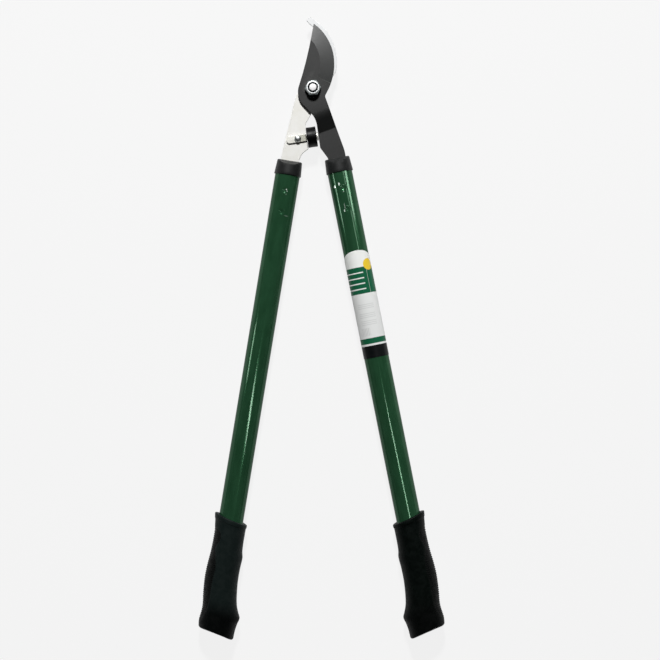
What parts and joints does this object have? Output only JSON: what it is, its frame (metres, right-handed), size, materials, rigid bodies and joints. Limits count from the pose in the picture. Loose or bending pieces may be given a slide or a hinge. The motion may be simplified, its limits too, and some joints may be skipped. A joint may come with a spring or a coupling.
{
  "type": "bypass lopper",
  "caption": "Long-handled bypass lopper: a bevelled blade passes a curved hook on a bolted pivot, with tube handles, moulded grips and a rubber bumper.",
  "frame": {"origin": "centre of the rear face of the pivot bolt's head, on the pivot's axis", "axes": "+Z along the pivot's axis from the bolt's head towards the nut; +Y from the pivot towards the jaws, midway between the handles' lean; +X to the side of the blade's cutting edge and its handle"},
  "size_m": [0.2808, 0.7111, 0.0348],
  "materials": {
    "bright_steel": "pale satin",
    "coated_steel": "dark low-friction coating, satin",
    "zinc_steel": "bright zinc plate",
    "nylon": "dark nylon",
    "bumper_rubber": "smooth black rubber",
    "collar_plastic": "satin black moulding",
    "green_paint": "dark green gloss",
    "grip_vinyl": "soft black vinyl",
    "label_paper": "printed film"
  },
  "bodies": {
    "hook_side": {"hook": "bright_steel", "pivot_bolt": "zinc_steel", "pivot_washer": "zinc_steel", "pivot_nut": "zinc_steel", "nut_insert": "nylon", "bumper_bracket": "zinc_steel", "bracket_rivet": "zinc_steel", "bumper": "bumper_rubber", "bumper_rivet": "zinc_steel", "left_ferrule": "collar_plastic", "left_tube": "green_paint", "left_grip": "grip_vinyl"},
    "blade_side": {"blade": "coated_steel", "right_ferrule": "collar_plastic", "right_tube": "green_paint", "right_grip": "grip_vinyl", "handle_label": "label_paper"}
  },
  "joints": [
    {"name": "pivot", "type": "hinge", "parent": "hook_side", "child": "blade_side", "pos_m": [0, 0, 0.0155], "axis": [0, 0, 1], "range_deg": [0, 80]}
  ]
}
